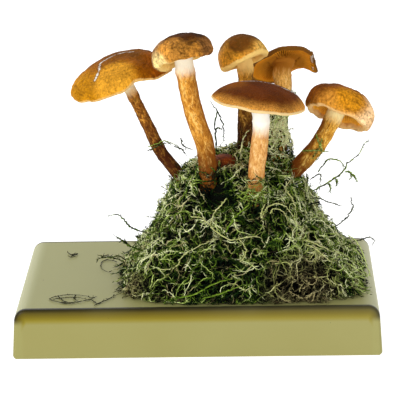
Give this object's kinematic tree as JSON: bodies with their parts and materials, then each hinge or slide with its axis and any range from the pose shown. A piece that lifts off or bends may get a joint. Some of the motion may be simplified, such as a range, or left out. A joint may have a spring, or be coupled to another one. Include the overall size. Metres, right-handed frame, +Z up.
{
  "type": "group of sheathed woodtuft mushrooms on a moss mound and display base",
  "caption": "Cluster of brown-capped woodtuft mushrooms growing from a mound of moss on a low moulded block; a natural specimen display that stands on a shelf or table.",
  "frame": {"origin": "middle of the base's underside, on the surface it stands on", "axes": "+X to the right along the base's long side, +Y to the back, +Z up; the side seen in the picture faces -Y"},
  "size_m": [0.18, 0.12, 0.1516],
  "materials": {
    "base": "satin olive-green moulded block with a softly shining rounded edge",
    "moss": "matt tangle of olive-green moss strands with pale tan and brown tips over dark gaps",
    "cap": "moist translucent brown to golden-ochre cap skin, pale ragged margin and yellow-brown gills",
    "stem": "fibrous stem, whitish at the cap, ochre with dark brown scales below"
  },
  "bodies": {
    "root": {"base": "base", "moss_mound": "moss", "moss_strand_right": "moss", "moss_strand_left": "moss", "moss_strand_forked": "moss", "moss_strand_pale": "moss", "cap_left": "cap", "cap_tall": "cap", "cap_bell": "cap", "cap_back": "cap", "cap_front": "cap", "cap_right": "cap", "young_button": "cap", "stem_left": "stem", "stem_tall": "stem", "stem_bell": "stem", "stem_back": "stem", "stem_front": "stem", "stem_right": "stem"}
  },
  "joints": []
}
